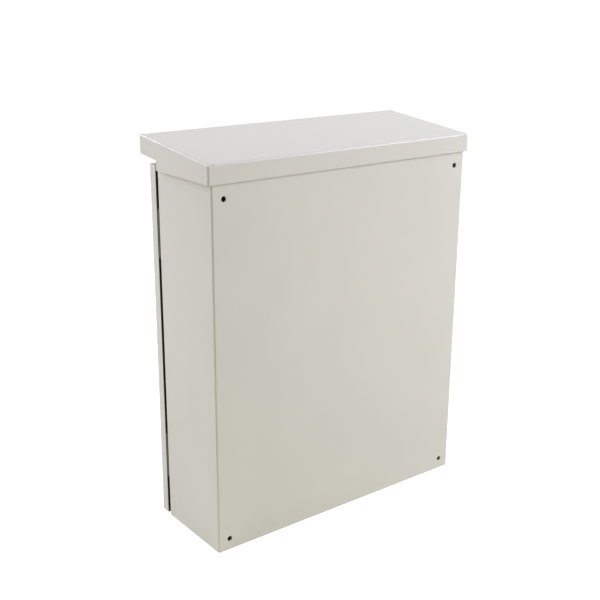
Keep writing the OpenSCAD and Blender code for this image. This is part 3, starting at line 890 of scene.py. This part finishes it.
@dataclass
class RainHood:
    """Hood with its two cleats, and the bolts that hold them through rubber washers."""

    thread: Thread = LARGE_THREAD
    hexagon: Hexagon = LARGE_HEX
    washer_d: float = 12.4 * MM
    sheets: tuple[str, ...] = ("rain_hood", "hood_cleat_left", "hood_cleat_right")

    def build(self) -> None:
        """Coats the sheets and makes the bolts and nuts."""
        dress(SHELL_COAT, *self.sheets)
        dress(MATT_RUBBER, "hood_washers")
        starts = grid_starts("hood_washers", Way.UP, self.washer_d / 2.0)
        self.set_height(starts, "hood_bolts")
        bolt = self.hexagon.bolt(self.thread, Way.UP.length(*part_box("hood_bolts")))
        fit("hood_bolts_threaded", bolt, Way.UP, starts, Body.ENCLOSURE, BRIGHT_ZINC, "hood_bolts")
        self.set_height(starts, "hood_nuts")
        nut = self.hexagon.nut(self.thread.diameter)
        fit("hood_nuts_chamfered", nut, Way.UP, starts, Body.ENCLOSURE, BRIGHT_ZINC, "hood_nuts")

    @staticmethod
    def set_height(starts: np.ndarray, node: str) -> None:
        """Moves the starting points to the lower end of a node."""
        starts[:, 2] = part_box(node)[0][2]


@dataclass
class EquipmentPlate:
    """Galvanised plate on four weld studs, with spacers behind it and washers and nuts in front."""

    thread: Thread = LARGE_THREAD
    hexagon: Hexagon = LARGE_HEX

    def build(self) -> None:
        """Dresses the plate and its rings, and makes the studs and nuts."""
        dress(ZINC_SHEET, "mounting_plate")
        dress(BRIGHT_ZINC, "plate_spacers", "plate_washers")
        starts = grid_starts("plate_studs", Way.TO_DOOR, self.thread.diameter / 2.0)
        form = stud(self.thread, Way.TO_DOOR.length(*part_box("plate_studs")))
        fit("plate_studs_threaded", form, Way.TO_DOOR, starts, Body.ENCLOSURE, BRIGHT_ZINC, "plate_studs")
        starts[:, 1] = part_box("plate_nuts")[1][1]
        nut = self.hexagon.nut(self.thread.diameter)
        fit("plate_nuts_chamfered", nut, Way.TO_DOOR, starts, Body.ENCLOSURE, BRIGHT_ZINC, "plate_nuts")


@dataclass
class CableEntry:
    """Plate over the cut-out in the bottom, its gasket, studs and nuts, and two blind stepped grommets."""

    thread: Thread = SMALL_THREAD
    hexagon: Hexagon = SMALL_HEX
    columns: int = 3
    collar: float = 4.0 * MM
    wall: float = 1.6 * MM
    gasket: float = 2.0 * MM
    plate: float = 1.5 * MM
    terraces: int = 4
    edge: float = 0.5 * MM
    sides: int = 72

    def build(self) -> None:
        """Dresses the plate and gasket, and makes the studs, nuts and grommets."""
        dress(ZINC_SHEET, "entry_plate")
        dress(MATT_RUBBER, "entry_gasket")
        starts = grid_starts("entry_studs", Way.UP, self.thread.diameter / 2.0, self.columns)
        form = stud(self.thread, Way.UP.length(*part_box("entry_studs")))
        fit("entry_studs_threaded", form, Way.UP, starts, Body.ENCLOSURE, BRIGHT_ZINC, "entry_studs")
        starts[:, 2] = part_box("entry_nuts")[0][2]
        nut = self.hexagon.nut(self.thread.diameter)
        fit("entry_nuts_chamfered", nut, Way.UP, starts, Body.ENCLOSURE, BRIGHT_ZINC, "entry_nuts")
        for node in ("grommet_left", "grommet_right"):
            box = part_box(node)
            start = Way.UP.start(*box)
            fit(f"{node}_stepped", self.grommet(*box), Way.UP, start, Body.ENCLOSURE, MATT_RUBBER, node)

    def grommet(self, low: Vector, high: Vector) -> PolarForm:
        """Blind grommet that fills a box.

        The section goes from the axis down the inside of the cone, round the lower collar, past the groove
        that holds the plate, over the upper collar and up terraces of equal rise to the tip.

        Args:
            low: Lowest corner of the box.
            high: Highest corner of the box.

        Returns:
            The turned form, from its lower collar up.
        """
        rim = (high[0] - low[0]) / 2.0
        top = high[2] - low[2]
        waist = rim - self.collar
        under = self.gasket
        over = self.gasket + self.plate
        mouth = waist - self.wall
        tip = waist / 2.0
        inside = [(0.0, top - self.wall), (tip - self.wall, top - self.wall), (mouth, over), (mouth, 0.0)]
        collars = [(rim, 0.0), (rim, under), (waist, under), (waist, over), (rim, over)]
        shoulder = over + self.wall
        radii = np.linspace(waist, tip, self.terraces + 1)
        rises = np.linspace(shoulder, top, self.terraces + 1)
        terrace = np.stack([np.repeat(radii, 2)[1:], np.repeat(rises, 2)[:-1]], axis=-1)[:-1]
        outside = [(rim - self.wall, shoulder), *map(tuple, terrace), (tip, top), (0.0, top)]
        return PolarForm.turned(rounded([*inside, *collars, *outside], self.edge), self.sides)


@dataclass
class DoorHinges:
    """Two butt hinges: a leaf on the body, a leaf on the door and a headed pin each."""

    head: float = 1.0 * MM
    pin_d: float = 2.0 * MM
    dome: float = 0.8 * MM
    sides: int = 40
    ends: tuple[str, ...] = ("upper", "lower")

    def build(self) -> None:
        """Dresses the leaves and makes the pins."""
        for end in self.ends:
            dress(HINGE_STEEL, f"body_leaf_{end}", f"door_leaf_{end}")
            node = f"hinge_pin_{end}"
            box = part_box(node)
            start = Way.UP.start(*box)
            fit(f"{node}_domed", self.pin(*box), Way.UP, start, Body.ENCLOSURE, HINGE_STEEL, node)

    def pin(self, low: Vector, high: Vector) -> PolarForm:
        """Pin with a domed head at each end: a turned section whose head corners are rounded off.

        Args:
            low: Lowest corner of the pin's box.
            high: Highest corner of the pin's box.

        Returns:
            The pin's form, from its lower end up.
        """
        rim = (high[0] - low[0]) / 2.0
        shank = self.pin_d / 2.0
        length = high[2] - low[2]
        lower = [(0.0, 0.0), (rim, 0.0), (rim, self.head), (shank, self.head)]
        upper = [(radius, length - height) for radius, height in reversed(lower)]
        return PolarForm.turned(rounded([*lower, *upper], self.dome), self.sides)


@dataclass
class SpongeSeal:
    """Sponge strip round the door's inside, with soft shoulders and the rain lip's mark along its crown."""

    corner_r: float = 3.0 * MM
    tight_r: float = 0.3 * MM
    width: float = 18.0 * MM
    shoulder: float = 4.0
    mark_at: float = 14.6 * MM
    mark_width: float = 1.6 * MM
    mark_depth: float = 0.7 * MM
    steps: int = 40
    corner_steps: int = 9

    def build(self) -> None:
        """Makes the strip and sets it on the door."""
        low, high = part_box("door_seal")
        points = placed(self.strip(low, high), Way.TO_WALL, Way.TO_WALL.start(low, high))
        piece = make_piece("door_seal_sponge", [points], True)
        settle(piece, Body.DOOR, SPONGE, "door_seal")

    def strip(self, low: Vector, high: Vector) -> np.ndarray:
        """Section carried round a rectangle with round corners.

        A point of the section lies a depth inside the outer edge. Its height is the crown times
        (1 - |2 depth / width - 1| ^ shoulder) ^ (1 / shoulder), less a bell-shaped mark. It goes round the
        rectangle that lies that depth inside the outer one, whose corners are that much tighter.

        Args:
            low: Lowest corner of the seal's box.
            high: Highest corner of the seal's box.

        Returns:
            Points with the section along the rows and the way round along the columns.
        """
        crown = high[1] - low[1]
        depth = self.width * (1.0 - np.cos(np.linspace(0.0, math.pi, self.steps))) / 2.0
        hump = np.abs(2.0 * depth / self.width - 1.0) ** self.shoulder
        mark = self.mark_depth * np.exp(-(((depth - self.mark_at) / self.mark_width) ** 2))
        height = np.clip(crown * (1.0 - hump) ** (1.0 / self.shoulder) - mark, 0.0, None)
        quarter = np.repeat(np.arange(4), self.corner_steps)
        bend = np.tile(np.linspace(0.0, TURN / 4, self.corner_steps), 4) + quarter * TURN / 4
        side_x = np.array([1, -1, -1, 1])[quarter]
        side_y = np.array([1, 1, -1, -1])[quarter]
        radius = np.maximum(self.corner_r - depth, self.tight_r)[:, None]
        inset = depth[:, None] + radius
        x = ((high[0] - low[0]) / 2.0 - inset) * side_x + radius * np.cos(bend)
        y = ((high[2] - low[2]) / 2.0 - inset) * side_y + radius * np.sin(bend)
        return np.stack([x, y, np.broadcast_to(height[:, None], x.shape)], axis=-1)


@dataclass
class CamLock:
    """Quarter-turn lock: threaded housing and nut on the door, and the insert with its cam that turns."""

    barrel: Thread = Thread(22.0 * MM, 1.5 * MM, depth_share=0.45, sides=72)
    flats: float = 20.0 * MM
    flange: float = 4.0 * MM
    bevel: float = 1.0 * MM
    edge: float = 0.4 * MM
    recess_d: float = 17.2 * MM
    recess: float = 3.1 * MM
    bore_d: float = 12.2 * MM
    nut: Hexagon = Hexagon(27.0 * MM, 5.0 * MM, sides=72)
    screw: Thread = Thread(4.8 * MM, 0.8 * MM)
    screw_head: Hexagon = SMALL_HEX

    def build(self) -> None:
        """Makes the housing, nut and screw, and dresses the rest."""
        low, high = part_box("lock_housing")
        start = Way.TO_WALL.start(low, high)
        chrome = TurnedChrome("turned_chrome", Slot.CHROME, start[0], start[2])
        dress(chrome, "lock_insert")
        dress(MATT_RUBBER, "lock_gasket")
        dress(BRIGHT_ZINC, "lock_cam", "cam_washer")
        housing = self.housing(low, high)
        fit("lock_housing_threaded", housing, Way.TO_WALL, start, Body.DOOR, chrome, "lock_housing")
        start = Way.TO_WALL.start(*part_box("lock_nut"))
        nut = self.nut.nut(self.barrel.diameter)
        fit("lock_nut_chamfered", nut, Way.TO_WALL, start, Body.DOOR, BRIGHT_ZINC, "lock_nut")
        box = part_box("cam_screw")
        start = Way.TO_DOOR.start(*box)
        screw = self.screw_head.bolt(self.screw, Way.TO_DOOR.length(*box))
        fit("cam_screw_threaded", screw, Way.TO_DOOR, start, Body.ROTOR, BRIGHT_ZINC, "cam_screw")

    def housing(self, low: Vector, high: Vector) -> PolarForm:
        """Flange with a bevelled rim, and a threaded barrel whose radius stops at two flats.

        On the barrel, the radius is the smaller of the thread's and half the flats' width over |cos(angle)|.

        Args:
            low: Lowest corner of the housing's box.
            high: Highest corner of the housing's box.

        Returns:
            The ring from the recess for the insert's disc, round the outside, to the far end of the bore.
        """
        rim = (high[0] - low[0]) / 2.0
        length = high[1] - low[1]
        recess_r = self.recess_d / 2.0
        bore_r = self.bore_d / 2.0
        front = [(recess_r, self.recess), (recess_r, 0.0), (rim - self.bevel, 0.0), (rim, self.bevel),
                 (rim, self.flange), (self.barrel.root, self.flange)]
        back = np.array([[bore_r, length], [bore_r, self.recess]])
        sides = self.barrel.sides
        thread = self.barrel.form(self.flange, length)
        flat_r = self.flats / 2.0 / np.maximum(np.abs(np.cos(angles(sides))), LEAST_COSINE)
        barrel = PolarForm(np.minimum(thread.radius, flat_r), thread.height)
        parts = [PolarForm.turned(rounded(front, self.edge), sides), barrel, PolarForm.turned(back, sides)]
        return PolarForm.stacked(parts, ring=True)


@dataclass
class EarthPoints:
    """Brass earth studs, one on the body's floor and one on the door, each with a washer and a nut."""

    thread: Thread = LARGE_THREAD
    hexagon: Hexagon = LARGE_HEX
    places: tuple[tuple[str, Body, Way], ...] = (
        ("body_earth", Body.ENCLOSURE, Way.UP),
        ("door_earth", Body.DOOR, Way.TO_WALL),
    )

    def build(self) -> None:
        """Dresses the washers and makes the studs and nuts."""
        nut = self.hexagon.nut(self.thread.diameter)
        for name, body, way in self.places:
            dress(EARTH_BRASS, f"{name}_washer")
            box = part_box(f"{name}_stud")
            form = stud(self.thread, way.length(*box))
            fit(f"{name}_stud_threaded", form, way, way.start(*box), body, EARTH_BRASS, f"{name}_stud")
            start = way.start(*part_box(f"{name}_nut"))
            fit(f"{name}_nut_chamfered", nut, way, start, body, EARTH_BRASS, f"{name}_nut")


# Studio


@dataclass(frozen=True)
class Lamp:
    """Square soft box that faces the object."""

    name: str
    place: Point
    size: float
    watts: float
    colour: Colour
    aim: Point = (0.0, 0.0, 0.28)

    def build(self) -> None:
        """Hangs the lamp, out of the camera's sight."""
        light = bpy.data.lights.new(self.name, "AREA")
        light.size = self.size
        light.energy = self.watts
        light.color = self.colour
        lamp = bpy.data.objects.new(self.name, light)
        lamp.location = self.place
        lamp.rotation_euler = (Vector(self.aim) - Vector(self.place)).to_track_quat("-Z", "Y").to_euler()
        lamp.visible_camera = False
        bpy.context.scene.collection.objects.link(lamp)


@dataclass(frozen=True)
class Viewpoint:
    """Camera behind the box, above it and on its hinge side."""

    eye: Point = (0.7831, 0.9978, 0.6855)
    bearing: float = math.radians(37.50)
    tilt: float = math.radians(17.91)
    roll: float = math.radians(0.35)
    lens_mm: float = 59.58
    sensor_mm: float = 36.0

    def build(self) -> None:
        """Sets up the camera.

        The view goes down by the tilt and turns from -Y towards -X by the bearing; the roll lifts the
        picture's right side.
        """
        level = math.cos(self.tilt)
        heading = (-math.sin(self.bearing) * level, -math.cos(self.bearing) * level)
        ahead = Vector((*heading, -math.sin(self.tilt)))
        flat_right = ahead.cross(Vector((0.0, 0.0, 1.0))).normalized()
        flat_up = flat_right.cross(ahead)
        right = flat_right * math.cos(self.roll) + flat_up * math.sin(self.roll)
        turned = Matrix((right, right.cross(ahead), -ahead)).transposed()
        data = bpy.data.cameras.new("camera")
        data.lens = self.lens_mm
        data.sensor_width = self.sensor_mm
        camera = bpy.data.objects.new("camera", data)
        camera.matrix_world = Matrix.Translation(self.eye) @ turned.to_4x4()
        bpy.context.scene.collection.objects.link(camera)
        bpy.context.scene.camera = camera


@dataclass
class Studio:
    """Pale floor, even fill from all round and four soft boxes."""

    floor_half: float = 60.0
    floor_bounce: Colour = (0.98, 0.95, 0.74)
    floor_shade: float = 0.35
    floor_glow: float = 0.945
    fill: float = 0.26
    fill_colour: Colour = (1.0, 0.97, 0.74)
    white: Colour = (1.0, 1.0, 1.0)
    lamps: tuple[Lamp, ...] = (
        Lamp("hinge_side_box", (1.15, -0.70, 1.35), 0.8, 6.4, (0.98, 1.0, 1.16)),
        Lamp("hinge_side_low_box", (1.50, -1.20, 0.92), 0.8, 9.1, (0.98, 1.0, 1.28)),
        Lamp("back_box", (-1.26, 0.97, 1.33), 1.2, 33.0, (0.97, 1.0, 1.16)),
        Lamp("door_box", (0.53, -1.60, 1.43), 0.35, 11.0, (0.96, 0.98, 1.0)),
    )
    viewpoint: Viewpoint = field(default_factory=Viewpoint)

    def build(self) -> None:
        """Makes the floor, the world, the lamps and the camera."""
        self.make_floor()
        self.make_world()
        for lamp in self.lamps:
            lamp.build()
        self.viewpoint.build()
        bpy.context.scene.view_settings.view_transform = "Standard"

    @staticmethod
    def seen(sheet: NodeSheet) -> Value:
        """One for rays from the camera, from gloss and through glass, and zero for light on the object.

        Args:
            sheet: The nodes of the floor or the world.

        Returns:
            The largest of the three rays' marks.
        """
        rays = sheet.add("ShaderNodeLightPath")
        names = ("Is Camera Ray", "Is Glossy Ray", "Is Transmission Ray")
        camera, gloss, glass = (Value(sheet, rays.outputs[name]) for name in names)
        return camera.or_more(gloss).or_more(glass)

    def make_floor(self) -> None:
        """Flat floor that reads as white and keeps the object's shadow."""
        half = self.floor_half
        corners = [(-half, -half, 0.0), (half, -half, 0.0), (half, half, 0.0), (-half, half, 0.0)]
        mesh = bpy.data.meshes.new("floor")
        mesh.from_pydata(corners, [], [(0, 1, 2, 3)])
        material = bpy.data.materials.new("pale_floor")
        sheet = NodeSheet(material)
        seen = self.seen(sheet)
        tone = sheet.mix(seen, self.floor_bounce, (self.floor_shade,) * 3)
        matt = sheet.add("ShaderNodeBsdfDiffuse", {}, {"Color": tone})
        glow = sheet.add("ShaderNodeEmission", {}, {"Color": self.white, "Strength": seen * self.floor_glow})
        both = sheet.add("ShaderNodeAddShader", {}, {0: matt.outputs[0], 1: glow.outputs[0]})
        sheet.add("ShaderNodeOutputMaterial", {}, {"Surface": both.outputs[0]})
        mesh.materials.append(material)
        floor = bpy.data.objects.new("floor", mesh)
        bpy.context.scene.collection.objects.link(floor)

    def make_world(self) -> None:
        """White surroundings for the eye, and a warm fill for the object."""
        world = bpy.data.worlds.new("studio")
        sheet = NodeSheet(world)
        seen = self.seen(sheet)
        colour = sheet.mix(seen, toned(self.fill_colour, self.fill), self.white)
        background = sheet.add("ShaderNodeBackground", {}, {"Color": colour, "Strength": 1.0})
        sheet.add("ShaderNodeOutputWorld", {}, {"Surface": background.outputs[0]})
        bpy.context.scene.world = world


def main() -> None:
    """Builds the studio and every sub-assembly in order."""
    logging.basicConfig(level=logging.INFO, format="%(name)s: %(message)s")
    assemblies = (
        Studio(), WeatherShell(), RainHood(), EquipmentPlate(), CableEntry(),
        DoorHinges(), SpongeSeal(), CamLock(), EarthPoints(),
    )
    for assembly in assemblies:
        assembly.build()
        log.info("%s done", type(assembly).__name__)


if __name__ == "__main__":
    main()
